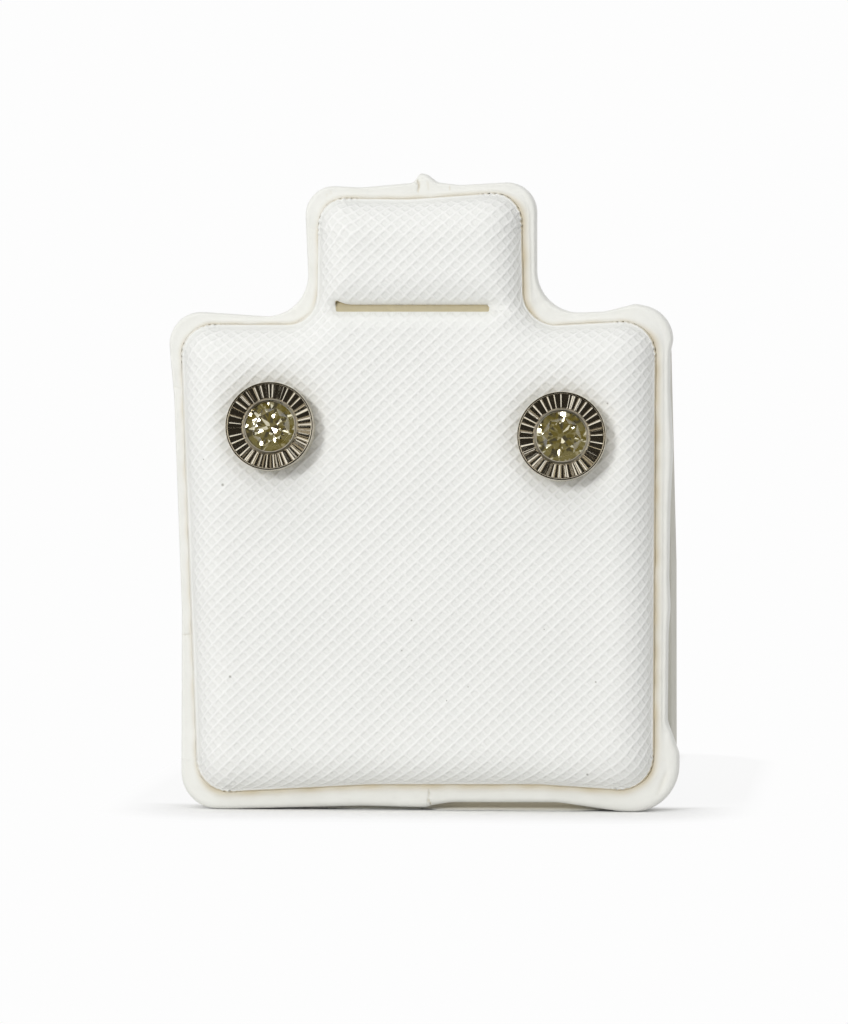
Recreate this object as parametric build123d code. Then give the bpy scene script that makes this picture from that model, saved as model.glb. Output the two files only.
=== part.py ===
from build123d import *
from math import atan2, cos, hypot, pi, radians, sin, sqrt, tan
import os

# A pair of fluted-halo stud earrings on a puffed display card.
# Millimetres. X to the right, Y to the back, Z up. The card stands on Z = 0 and the
# origin is in the middle of the foot of its back board.

# ---- card ------------------------------------------------------------------------
board_thickness = 2.0
board_chamfer = 0.35        # the cut front edge of the board, which shows beside the roll
layer_gap = 0.05            # glue line between the board and what lies on it
roll_depth = 1.6            # the edge roll, front to back
roll_round = 0.2            # rounding of the roll's front
roll_tuck = 0.1             # how far the roll turns in against the board
crease_below_roll = 0.5     # the crease is this far behind the roll's front
crease_gap = 0.04           # between pad and roll
puff_rise = 2.1             # the pad's front above the crease
puff_edge = 2.0             # width of the pad's rounded edge, seen from the front
puff_steps = 5              # sections of the rounded edge
sharpest_corner = 0.3       # smallest corner radius of a section

# ---- hang slot and the valley that it sits in --------------------------------------
slot_centre_x = -0.31
slot_length = 7.75
slot_height = 0.42
slot_z = 25.35
slot_slope = 13.0           # degrees, down towards the back
valley_half_width = 5.9
valley_tab_radius = 1.7     # the tab's puff rolls down into the slot
valley_body_radius = 0.9    # and the body's puff rises from it

# ---- studs, in their own frame: z = 0 is the lip's front, +z faces the viewer --------
lip_proud = 1.15            # the lip's front above the pad's front
lip_radius = 2.22
lip_width = 0.1
lip_round = 0.04
wall_depth = 0.85           # straight side wall below the lip
head_depth = 2.0
head_back_radius = 1.15
flute_count = 35
flute_outer = (2.09, -0.08)   # radius and height of the fluted cone's outer edge
flute_inner = (1.42, -0.40)   # and of its inner edge
flute_depth = 0.08          # at the outer edge, less towards the bezel
flute_width = 1.03          # width over pitch, so that flutes meet in sharp ridges
flute_overcut = 0.01        # how far a flute's cutter starts above the cone
bezel_radius = 1.39
bezel_top = -0.30
bezel_lip_radius = 1.23
post_radius = 0.4
post_length = 10.0
post_tip = 0.15
notch_from_tip = 1.5
notch_length = 0.8
notch_depth = 0.07

# ---- stones ------------------------------------------------------------------------
stone_radius = 1.26
stone_girdle = 0.06         # girdle thickness
stone_girdle_z = -0.62      # height of the girdle's middle below the lip
stone_table = 0.57          # table width over stone width
crown_angle = 34.5
star_angle = 22.0
upper_half_angle = 41.5
pavilion_angle = 40.75
lower_half_angle = 42.0
stone_gap = 0.03

# ---- holes, dimples and clutches -----------------------------------------------------
hole_radius = 0.47
dimple = [(0, -2.06), (1.25, -2.06), (2.3, -1.6), (3.5, -1.2), (3.5, 1.0), (0, 1.0)]
clutch_radius = 2.3
clutch_plate = 0.25
clutch_bore = 0.43
scroll_radius = 1.02
scroll_wall = 0.24
scroll_width = 2.2
scroll_centre = 1.5
scroll_opening = 70.0       # degrees left open in each scroll
clutch_clearance = 0.06

# name, x, z, tilt up and turn to the right in degrees, turn of the stone in its bezel
studs = [
    ("left", -7.32, 19.47, 6.0, -1.0, 4.0),
    ("right", 7.32, 19.0, 6.0, 3.0, 15.0),
]

# Corner points of the three outlines: name, x, z, corner radius.
roll_outline = [
    ("bottom_left", -12.18, 0.00, 1.85),
    ("left_foot", -9.60, 0.00, 4.00),
    ("low_arch", -3.00, 0.21, 5.00),
    ("joint", 0.25, 0.15, 0.50),
    ("arch_left", 1.50, 0.42, 2.00),
    ("arch_right", 7.00, 0.45, 4.00),
    ("arch_end", 10.20, 0.00, 3.00),
    ("bottom_right", 13.06, 0.00, 2.35),
    ("right_bulge", 13.06, 2.95, 0.80),
    ("right_pinch", 12.46, 4.60, 1.00),
    ("right_waist", 12.58, 15.40, 3.00),
    ("right_hip", 12.70, 18.30, 2.00),
    ("right_upper", 12.58, 21.20, 2.00),
    ("right_shoulder", 12.72, 25.22, 1.60),
    ("shoulder_peak", 10.85, 25.58, 0.60),
    ("shoulder_dip", 9.30, 25.18, 3.00),
    ("right_neck_root", 5.86, 25.06, 1.75),
    ("tab_right", 5.86, 31.74, 1.65),
    ("tab_dip_right", 2.00, 31.54, 2.00),
    ("nub_right", 0.85, 31.68, 0.50),
    ("nub_peak", 0.15, 32.18, 0.25),
    ("nub_left", -0.35, 31.66, 0.30),
    ("tab_dip_left", -3.00, 31.42, 3.00),
    ("tab_left", -5.86, 31.58, 1.70),
    ("left_neck_root", -5.58, 24.88, 1.90),
    ("left_dip", -8.00, 24.93, 3.00),
    ("left_shoulder", -12.84, 25.24, 1.75),
    ("left_upper", -12.50, 20.80, 5.00),
    ("left_lower", -12.12, 10.00, 8.00),
]

pad_outline = [
    ("bottom_left", -11.20, 0.86, 1.60),
    ("low_arch", -2.50, 1.36, 8.00),
    ("arch_right", 6.00, 1.42, 8.00),
    ("bottom_right", 11.76, 1.08, 1.70),
    ("right_shoulder", 11.84, 24.64, 1.65),
    ("right_neck_root", 5.22, 24.38, 1.70),
    ("tab_right", 5.08, 31.18, 1.40),
    ("tab_dip", -0.50, 30.80, 5.00),
    ("tab_left", -5.08, 30.86, 1.35),
    ("left_neck_root", -5.17, 24.50, 1.50),
    ("left_shoulder", -12.05, 24.50, 1.55),
]

board_outline = [
    ("bottom_left", -11.85, 0.00, 1.30),
    ("bottom_right", 12.80, 0.00, 1.90),
    ("right_middle", 12.77, 12.50, 8.00),
    ("right_shoulder", 12.45, 24.95, 1.60),
    ("right_neck_root", 5.60, 24.70, 2.00),
    ("tab_right", 5.55, 31.30, 1.40),
    ("tab_left", -5.50, 31.10, 1.40),
    ("left_neck_root", -5.30, 24.55, 2.20),
    ("left_shoulder", -12.40, 24.85, 1.50),
    ("left_lower", -11.80, 10.00, 8.00),
]

# ---- depths that follow from the sizes above -----------------------------------------
board_front = -board_thickness / 2
board_back = board_thickness / 2
cover_back = board_front - layer_gap
roll_front = cover_back - roll_depth
crease_y = roll_front + crease_below_roll
puff_front = crease_y - puff_rise
lip_y = puff_front - lip_proud


def inset_corners(rows, inset):
    """Corner points moved inwards by inset, with radii to suit."""
    corners = []
    for i, (name, x, z, radius) in enumerate(rows):
        before = rows[i - 1]
        after = rows[(i + 1) % len(rows)]
        ax, az = x - before[1], z - before[2]
        bx, bz = after[1] - x, after[2] - z
        a, b = hypot(ax, az), hypot(bx, bz)
        nx1, nz1, nx2, nz2 = -az / a, ax / a, -bz / b, bx / b
        share = inset / (1 + nx1 * nx2 + nz1 * nz2)
        turns_out = ax * bz - az * bx > 0
        if turns_out:
            new_radius = max(radius - inset, min(radius, sharpest_corner))
        else:
            new_radius = radius + inset
        corners.append((x + share * (nx1 + nx2), z + share * (nz1 + nz2), new_radius))
    return corners


def section(rows, y, inset=0.0):
    """A closed face at depth y, of straight runs and corner arcs."""
    corners = inset_corners(rows, inset)
    points = [(x, y, z) for x, z, radius in corners]
    return make_face(FilletPolyline(*points, radius=[c[2] for c in corners], close=True))


def lofted(rows, steps):
    """A solid through sections, each given as its depth y and its inset."""
    return loft([section(rows, y, inset) for y, inset in steps], ruled=True)


def stud_place(stud):
    """The stud's own frame: at the lip's centre, z along the post towards the viewer."""
    name, x, z, tilt, turn, spin = stud
    facing = Vector(
        sin(radians(turn)),
        -cos(radians(turn)) * cos(radians(tilt)),
        sin(radians(tilt)),
    )
    return Plane(origin=(x, lip_y, z), x_dir=(1, 0, 0), z_dir=facing).location


def revolved(points):
    """Solid of revolution about z through (radius, height) points."""
    profile = make_face(Polyline(*[(r, 0, z) for r, z in points], close=True))
    return revolve(profile, Axis.Z)


def on_axis(radius, top, bottom):
    """Cylinder about z between two heights."""
    height = top - bottom
    return Pos(0, 0, bottom) * Cylinder(radius, height, align=(Align.CENTER, Align.CENTER, Align.MIN))


# ---- card ------------------------------------------------------------------------------
def hang_slot():
    """Cutter of the slot, through the whole card and sloping down to the back."""
    reach = 6 * board_thickness
    place = Pos(slot_centre_x, crease_y, slot_z) * Rot(-slot_slope, 0, 0)
    return place * Box(slot_length, reach, slot_height)


def post_holes():
    return [stud_place(s) * on_axis(hole_radius, 0, -2 * head_depth - post_length) for s in studs]


def valley():
    """Cutter between tab and body: two rolled edges that meet at the slot."""
    y, z = puff_front, slot_z
    up, down = valley_tab_radius, valley_body_radius
    front = puff_front - 1
    tab_start = (0, y, z + slot_height / 2 + up)
    tab_mid = (0, y + up * (1 - sqrt(0.5)), z + slot_height / 2 + up * (1 - sqrt(0.5)))
    tab_end = (0, y + up, z + slot_height / 2)
    body_end = (0, y + down, z - slot_height / 2)
    body_mid = (0, y + down * (1 - sqrt(0.5)), z - slot_height / 2 - down * (1 - sqrt(0.5)))
    body_start = (0, y, z - slot_height / 2 - down)
    edges = [
        ThreePointArc(tab_start, tab_mid, tab_end),
        Line(tab_end, (0, y + up, z - slot_height / 2)),
        Line((0, y + up, z - slot_height / 2), body_end),
        ThreePointArc(body_end, body_mid, body_start),
        Polyline(body_start, (0, front, body_start[2]), (0, front, tab_start[2]), tab_start),
    ]
    profile = make_face(edges)
    return extrude(profile, amount=valley_half_width, dir=(1, 0, 0), both=True)


def puff_pad():
    steps = [(cover_back, 0.0)]
    for i in range(puff_steps + 1):
        angle = pi / 2 * i / puff_steps
        steps.append((crease_y - puff_rise * sin(angle), puff_edge * (1 - cos(angle))))
    pad = lofted(pad_outline, steps)
    pad -= valley()
    pad -= hang_slot()
    for stud in studs:
        pad -= stud_place(stud) * revolved(dimple)
    for hole in post_holes():
        pad -= hole
    return pad


def edge_roll():
    outside = lofted(roll_outline, [
        (cover_back, roll_tuck),
        (cover_back - roll_depth / 4, 0.0),
        (roll_front + roll_round * 2, 0.0),
        (roll_front + roll_round / 2, roll_round / 2),
        (roll_front, roll_round),
    ])
    inside = lofted(pad_outline, [
        (cover_back + 1, -crease_gap),
        (roll_front + roll_round * 2, -crease_gap),
        (roll_front + roll_round / 2, -crease_gap - roll_round / 2),
        (roll_front - 0.01, -crease_gap - roll_round),
    ])
    return outside - inside


def back_board():
    board = lofted(board_outline, [
        (board_back, 0.0),
        (board_front + board_chamfer, 0.0),
        (board_front, board_chamfer / 2),
    ])
    board -= hang_slot()
    for hole in post_holes():
        board -= hole
    return board


# ---- studs, each built in its own frame ---------------------------------------------------
def flute():
    """Cutter of one flute: a three-sided wedge, square to the cone."""
    fall = atan2(flute_outer[1] - flute_inner[1], flute_outer[0] - flute_inner[0])
    ends = []
    for radius, height in (flute_outer, flute_inner):
        half = radius * tan(pi / flute_count) * flute_width
        depth = flute_depth * radius / flute_outer[0]
        above_r, above_z = radius - flute_overcut * sin(fall), height + flute_overcut * cos(fall)
        points = [
            (above_r, -half, above_z),
            (above_r, half, above_z),
            (radius + depth * sin(fall), 0, height - depth * cos(fall)),
        ]
        ends.append(make_face(Polyline(*points, close=True)))
    return loft(ends, ruled=True)


def setting():
    outer_r, outer_z = flute_outer
    inner_r, inner_z = flute_inner
    girdle_top = stone_girdle_z + stone_girdle / 2 + stone_gap
    girdle_bottom = stone_girdle_z - stone_girdle / 2 - stone_gap
    bore = stone_radius + stone_gap
    lip_under = girdle_top + stone_gap + (bore - bezel_lip_radius) * tan(radians(upper_half_angle))
    seat_depth = bore * tan(radians(pavilion_angle))
    head = revolved([
        (0, -head_depth),
        (head_back_radius, -head_depth),
        (lip_radius, -wall_depth),
        (lip_radius, -lip_round),
        (lip_radius - lip_round, 0),
        (lip_radius - lip_width + lip_round / 2, 0),
        (lip_radius - lip_width, -lip_round),
        (outer_r, outer_z),
        (inner_r, inner_z),
        (bezel_radius, inner_z),
        (bezel_radius, bezel_top - lip_round),
        (bezel_radius - lip_round, bezel_top),
        (bezel_lip_radius, bezel_top),
        (bezel_lip_radius, lip_under),
        (bore, girdle_top),
        (bore, girdle_bottom),
        (0, girdle_bottom - seat_depth),
    ])
    cutter = flute()
    head -= [Rot(0, 0, 360 / flute_count * i) * cutter for i in range(flute_count)]
    tip = -head_depth - post_length
    post = revolved([
        (0, -head_depth + stone_gap),
        (post_radius, -head_depth + stone_gap),
        (post_radius, tip + notch_from_tip + notch_length),
        (post_radius - notch_depth, tip + notch_from_tip + notch_length / 2),
        (post_radius, tip + notch_from_tip),
        (post_radius, tip + post_tip),
        (post_radius - post_tip, tip),
        (0, tip),
    ])
    return head + post


def cut_tier(stone, count, first_turn, slope, edge_radius, edge_height, side):
    """Flat facets round the stone. Each passes through a point at edge_radius."""
    for i in range(count):
        turn = radians(first_turn + 360 / count * i)
        slant = radians(slope)
        point = (edge_radius * cos(turn), edge_radius * sin(turn), edge_height)
        outward = (sin(slant) * cos(turn), sin(slant) * sin(turn), side * cos(slant))
        stone = split(stone, bisect_by=Plane(origin=point, z_dir=outward), keep=Keep.BOTTOM)
    return stone


def brilliant():
    """Round brilliant with 57 facets and a sixteen-sided girdle, girdle middle at z = 0."""
    half_girdle = stone_girdle / 2
    flat_radius = stone_radius * cos(pi / 16)
    crown_height = stone_radius * (1 - stone_table) * tan(radians(crown_angle))
    pavilion_depth = stone_radius * tan(radians(pavilion_angle))
    table_z = half_girdle + crown_height
    star_radius = stone_radius * stone_table
    blank = Pos(0, 0, -half_girdle - pavilion_depth - 1) * extrude(
        RegularPolygon(stone_radius, 16), amount=table_z + half_girdle + pavilion_depth + 1
    )
    stone = cut_tier(blank, 8, 0, crown_angle, stone_radius, half_girdle, 1)
    stone = cut_tier(stone, 16, 11.25, upper_half_angle, flat_radius, half_girdle, 1)
    stone = cut_tier(stone, 8, 22.5, star_angle, star_radius * cos(pi / 8), table_z, 1)
    stone = cut_tier(stone, 8, 0, pavilion_angle, stone_radius, -half_girdle, -1)
    return cut_tier(stone, 16, 11.25, lower_half_angle, flat_radius, -half_girdle, -1)


def clutch(tilt, turn):
    """Friction back: a round plate with two scrolls that grip the post."""
    straight = cos(radians(tilt)) * cos(radians(turn))
    lean = clutch_radius * sqrt(1 - straight**2)
    front = -(board_back - lip_y) / straight - lean - clutch_clearance
    back = front - clutch_plate
    body = on_axis(clutch_radius, front, back)
    centre_z = back - scroll_radius + clutch_plate / 2
    for side in (-1, 1):
        ring = Circle(scroll_radius) - Circle(scroll_radius - scroll_wall)
        gap_middle = Rot(0, 0, 45 if side < 0 else 135)
        gap_half = scroll_radius * 2 * tan(radians(scroll_opening / 2))
        gap = gap_middle * make_face(Polyline(
            (0, 0), (scroll_radius * 2, gap_half), (scroll_radius * 2, -gap_half), close=True
        ))
        curl = extrude(ring - gap, amount=scroll_width / 2, both=True)
        body += Pos(side * scroll_centre, 0, centre_z) * Rot(90, 0, 0) * curl
    return body - on_axis(clutch_bore, front + 1, back - 1)


def build():
    parts = {
        "puff_pad": puff_pad(),
        "edge_roll": edge_roll(),
        "back_board": back_board(),
    }
    metal = setting()
    stone = brilliant()
    for stud in studs:
        name, x, z, tilt, turn, spin = stud
        place = stud_place(stud)
        parts[name + "_setting"] = place * metal
        parts[name + "_stone"] = place * Pos(0, 0, stone_girdle_z) * Rot(0, 0, spin) * stone
        parts[name + "_clutch"] = place * clutch(tilt, turn)
    return parts


os.makedirs("parts", exist_ok=True)
for node, solid in build().items():
    export_step(solid, f"parts/{node}.step")
    print(node, round(solid.volume, 3))
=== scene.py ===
import bpy
import bmesh
import math
from functools import partial
import numpy as np
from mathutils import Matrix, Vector


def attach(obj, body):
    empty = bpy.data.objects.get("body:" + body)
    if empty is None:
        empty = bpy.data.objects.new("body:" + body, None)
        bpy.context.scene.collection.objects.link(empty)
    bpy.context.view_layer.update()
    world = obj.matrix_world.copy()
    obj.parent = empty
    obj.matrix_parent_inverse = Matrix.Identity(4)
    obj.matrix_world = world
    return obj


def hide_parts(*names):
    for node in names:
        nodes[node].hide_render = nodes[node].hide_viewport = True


# Two gold stud earrings with fluted halos on a puffed display card.
# Work is in millimetres with x to the right and z up; points in the plane of the card are
# complex numbers x + iz. Y runs to the back. Meshes are turned to metres when they are made.

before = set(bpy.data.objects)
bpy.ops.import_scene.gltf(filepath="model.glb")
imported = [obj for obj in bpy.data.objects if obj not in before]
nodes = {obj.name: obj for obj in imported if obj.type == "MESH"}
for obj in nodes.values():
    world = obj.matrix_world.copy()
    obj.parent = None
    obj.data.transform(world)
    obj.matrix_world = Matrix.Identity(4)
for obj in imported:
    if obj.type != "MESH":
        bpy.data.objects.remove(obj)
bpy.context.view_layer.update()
print("frame loaded")


# sRGB hex to linear: each channel c becomes c / 12.92 below 0.04045, else ((c + 0.055) / 1.055) ^ 2.4.
def colour(hexText, alpha=1.0):
    channels = [int(hexText[i:i + 2], 16) / 255 for i in (0, 2, 4)]
    linear = [c / 12.92 if c <= 0.04045 else ((c + 0.055) / 1.055) ** 2.4 for c in channels]
    return (*linear, alpha)


# Adds a node, sets its properties and its sockets. A socket's value may be another node's output, or
# a node, which stands for its first output in use.
def addNode(tree, kind, inputs=None, **settings):
    node = tree.nodes.new("ShaderNode" + kind)
    for name, value in settings.items():
        setattr(node, name, value)
    for name, value in (inputs or {}).items():
        if isinstance(value, bpy.types.Node):
            value = next(socket for socket in value.outputs if socket.enabled)
        if isinstance(value, bpy.types.NodeSocket):
            tree.links.new(value, node.inputs[name])
        else:
            node.inputs[name].default_value = value
    return node


# Empties the node tree of a material or world and gives addNode for it.
def emptyTree(owner):
    owner.use_nodes = True
    owner.node_tree.nodes.clear()
    return partial(addNode, owner.node_tree)


# A new material, and addNode for its empty tree.
def blankMaterial(name):
    material = bpy.data.materials.new(name)
    return material, emptyTree(material)


# Two tones in soft patches: a noise of the given scale mixes them.
def mottled(add, place, scale, detail, first, second):
    patches = add("TexNoise", {"Vector": place, "Scale": scale, "Detail": detail})
    return add("Mix", {"Factor": patches, "A": first, "B": second}, data_type="RGBA")


# Faces of a grid of points whose rows are closed rings: each point with the next one in its row and
# the same two of the following row. closed joins the last row to the first.
def ringFaces(rows, columns, closed=False):
    grid = np.arange(rows * columns).reshape(rows, columns)
    ahead = np.roll(grid, -1, axis=1)
    faces = np.stack([grid, ahead, np.roll(ahead, -1, axis=0), np.roll(grid, -1, axis=0)], axis=-1)
    return faces[:rows if closed else -1].reshape(-1, 4).tolist()


# 0 below low, 1 above high, and 3t^2 - 2t^3 between.
def ease(value, low, high):
    t = np.clip((value - low) / (high - low), 0, 1)
    return t * t * (3 - 2 * t)


# Points in mm and faces as rows of indices become an object with smooth faces.
def meshPiece(name, points, faces, materials, faceMaterial=None):
    mesh = bpy.data.meshes.new(name)
    mesh.from_pydata((np.asarray(points) * 0.001).tolist(), [], faces)
    mesh.polygons.foreach_set("use_smooth", np.ones(len(mesh.polygons), bool))
    for material in materials:
        mesh.materials.append(material)
    if faceMaterial is not None:
        mesh.polygons.foreach_set("material_index", np.asarray(faceMaterial, np.int32))
    mesh.update()
    piece = bpy.data.objects.new(name, mesh)
    bpy.context.collection.objects.link(piece)
    return piece


# One number per vertex, under a name that a material reads.
def storeAttribute(piece, name, values):
    layer = piece.data.attributes.new(name, "FLOAT", "POINT")
    layer.data.foreach_set("value", np.asarray(values, np.float32))


# A UV map from one (u, v) pair per vertex.
def storeUv(piece, pairs):
    layer = piece.data.uv_layers.new(name="surface")
    corner = np.empty(len(piece.data.loops), np.int32)
    piece.data.loops.foreach_get("vertex_index", corner)
    layer.data.foreach_set("uv", np.asarray(pairs, np.float32)[corner].ravel())


# Normals outwards on a closed mesh. With capMaterial its open loops are first filled with flat caps.
def finishMesh(piece, capMaterial=None):
    work = bmesh.new()
    work.from_mesh(piece.data)
    if capMaterial is not None:
        rims = [edge for edge in work.edges if edge.is_boundary]
        caps = bmesh.ops.triangle_fill(work, edges=rims, use_beauty=True)["geom"]
        for face in caps:
            if isinstance(face, bmesh.types.BMFace):
                face.material_index, face.smooth = capMaterial, False
    bmesh.ops.recalc_face_normals(work, faces=work.faces)
    work.to_mesh(piece.data)
    work.free()


# Sizes in millimetres.
card = {
    # x, z, corner radius, anticlockwise from the bottom left
    "padCorners": [
        (-11.2, 0.86, 1.6), (-2.5, 1.36, 8), (6, 1.42, 8), (11.76, 1.08, 1.7), (11.84, 24.74, 1.65),
        (5.22, 24.38, 1.7), (5.08, 31.18, 1.4), (-0.5, 30.8, 5), (-5.08, 30.86, 1.35), (-5.17, 24.5, 1.5),
        (-12.05, 24.5, 1.55),
    ],
    "rollCorners": [
        (-12.18, 0, 1.85), (-9.6, 0, 4), (-3, 0.21, 5), (0.25, 0.15, 0.3), (0.62, 0.27, 0.3),
        (1.5, 0.42, 2), (7, 0.45, 4), (10.2, 0, 3), (13.06, 0, 2.35), (13.06, 2.95, 0.8), (12.46, 4.6, 1),
        (12.5, 9, 0.5), (12.6, 10.4, 0.6), (12.53, 11.8, 2), (12.58, 15.4, 3), (12.72, 18.3, 2),
        (12.57, 21.2, 2), (12.58, 23.1, 0.6), (12.72, 23.75, 0.6), (12.66, 25.16, 1.75),
        (10.85, 25.58, 0.6), (9.3, 25.18, 3), (5.86, 25.06, 2.12), (5.86, 31.76, 1.5), (2, 31.54, 2),
        (0.85, 31.68, 0.5), (0.32, 32.08, 0.25), (-0.02, 32.16, 0.2), (-0.38, 31.66, 0.2), (-3, 31.42, 3),
        (-5.9, 31.6, 1.45), (-5.58, 24.9, 2.12), (-8, 24.95, 3), (-12.9, 25.28, 1.6), (-12.5, 20.8, 5),
        (-12.12, 10, 8),
    ],
    "boardBack": 1.0,
    "coverBack": -1.05,      # where the vinyl lies on the board
    "creaseY": -2.15,        # the foot of the pad
    "rollFront": -2.65,
    "padFront": -4.25,
    # how far the pad's foot turns outwards before it meets the roll's ledge
    "footEnd": 0.05, "footLeft": 0.1,
    # the ledge: its width, and how far it stands forward at the crease and at its end
    "flangeTop": 0.22, "flangeLeft": 0.12, "flangeRight": 0.4, "flangeBelow": 0.24,
    "liftLeft": 0.57, "liftRight": 0.58, "endLift": 0.57,
    "loopPoints": 2400,      # around an outline
}


# A table of corners as places and radii, with the directions in which the line arrives and leaves.
def readCorners(corners):
    x, z, radius = np.array(corners).T
    place = x + 1j * z
    arriving = (place - np.roll(place, 1)) / abs(place - np.roll(place, 1))
    return place, radius, arriving, np.roll(arriving, -1)


# A closed line of straight runs and arcs. Each arc touches both runs of its corner: its centre is
# one radius to the side of the first run, and it turns by the angle between the runs.
def roundedLoop(corners, step=0.02):
    place, radius, arriving, leaving = readCorners(corners)
    turn = np.angle(leaving / arriving)
    arcs = []
    for i in range(len(corners)):
        start = place[i] - arriving[i] * radius[i] * np.tan(abs(turn[i]) / 2)
        arm = -1j * np.sign(turn[i]) * arriving[i] * radius[i]
        count = max(2, int(abs(turn[i]) * radius[i] / step))
        arcs.append(start - arm + arm * np.exp(1j * np.linspace(0, turn[i], count)))
    return np.concatenate(arcs)


# The same line as count points, evenly spaced along its length and smoothed by a Gaussian of the
# given width in mm, which a Fourier transform applies as exp(-2 (pi f width)^2).
def evenLoop(line, count, width=0.0):
    closed = np.append(line, line[0])
    along = np.concatenate([[0], np.cumsum(abs(np.diff(closed)))])
    places = np.linspace(0, along[-1], count, endpoint=False)
    even = np.interp(places, along, closed.real) + 1j * np.interp(places, along, closed.imag)
    frequency = np.fft.fftfreq(count, along[-1] / count)
    return np.fft.ifft(np.fft.fft(even) * np.exp(-2 * (np.pi * frequency * width) ** 2))


# Unit normals of a closed anticlockwise line, pointing out of it.
def loopNormals(line):
    along = np.roll(line, -1) - np.roll(line, 1)
    return -1j * along / abs(along)


# Corner points moved inwards by inset. An outer corner keeps a small radius, an inner one grows.
def insetCorners(corners, inset, smallest=0.3):
    place, radius, arriving, leaving = readCorners(corners)
    moved = place + inset * (1j * arriving + 1j * leaving) / (1 + (arriving * leaving.conj()).real)
    outer = (arriving.conj() * leaving).imag > 0
    radii = np.where(outer, np.maximum(radius - inset, smallest), radius + inset)
    return np.stack([moved.real, moved.imag, radii], axis=1)


# How far one must go from each start along its direction to meet the closed line:
# the smallest positive root of start + s direction = a + k (b - a), with k from 0 to 1.
def reachTo(starts, directions, line):
    run = (np.roll(line, -1) - line)[None, :]
    gap = line[None, :] - starts[:, None]
    across = (directions[:, None].conj() * run).imag
    across = np.where(abs(across) < 1e-12, 1e-12, across)
    share = -(directions[:, None].conj() * gap).imag / across
    distance = (gap.conj() * run).imag / (directions[:, None].conj() * run).imag
    met = (share >= -1e-6) & (share <= 1 + 1e-6) & (distance > -0.3)
    return np.where(met, distance, np.inf).min(axis=1)


# The closest place on a closed line of evenly spaced points: the closest of every twelfth point,
# then of those around it, then the foot of the perpendicular on the run to each neighbour.
def nearestOnLoop(points, line):
    coarse = line[::12]
    rough = np.concatenate([
        np.argmin(abs(part[:, None] - coarse[None, :]), axis=1) for part in np.array_split(points, 80)
    ]) * 12
    window = (rough[:, None] + np.arange(-14, 15)) % len(line)
    index = window[np.arange(len(points)), np.argmin(abs(points[:, None] - line[window]), axis=1)]
    best, bestPlace = np.full(len(points), np.inf), np.zeros(len(points), complex)
    for side in (-1, 1):
        start, run = line[index], line[(index + side) % len(line)] - line[index]
        share = np.clip(((points - start) * run.conj()).real / abs(run) ** 2, 0, 1)
        foot = start + share * run
        better = abs(points - foot) < best
        best = np.where(better, abs(points - foot), best)
        bestPlace = np.where(better, foot, bestPlace)
    return bestPlace, index


# 1 where an edge faces the upper left, 0 where it faces the lower right.
def facesLight(outwards):
    return ease((outwards * np.exp(-1j * math.radians(130))).real, -0.35, 0.45)


# The ledge's width by the direction in which it faces: widest at the right, narrow left of the tab.
def flangeWidth(outwards, place):
    top = card["flangeTop"]
    left = card["flangeLeft"] * (1 - 0.7 * ease(place.imag, 25.4, 26.6))
    return (top + (left - top) * ease(-outwards.real, 0.3, 0.9)
            + (card["flangeRight"] - top) * ease(outwards.real, 0.3, 0.9)
            + (card["flangeBelow"] - top) * ease(-outwards.imag, 0.3, 0.9))


# How far the pad's foot reaches outwards under the ledge's edge.
def footWidth(outwards, place):
    foot = card["footEnd"] + (card["footLeft"] - card["footEnd"]) * ease(-outwards.real, 0.3, 0.9)
    return np.minimum(foot, 0.8 * flangeWidth(outwards, place))


# How far the ledge stands forward at a share of its width: level at the upper left, elsewhere
# rising towards the roll with sin(90 degrees x share).
def flangeLift(outwards, share):
    light = facesLight(outwards)
    start = card["liftRight"] + (card["liftLeft"] - card["liftRight"]) * light
    return start + (card["endLift"] - start) * (1 - light) * np.sin(np.clip(share, 0, 1) * np.pi / 2)


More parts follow.
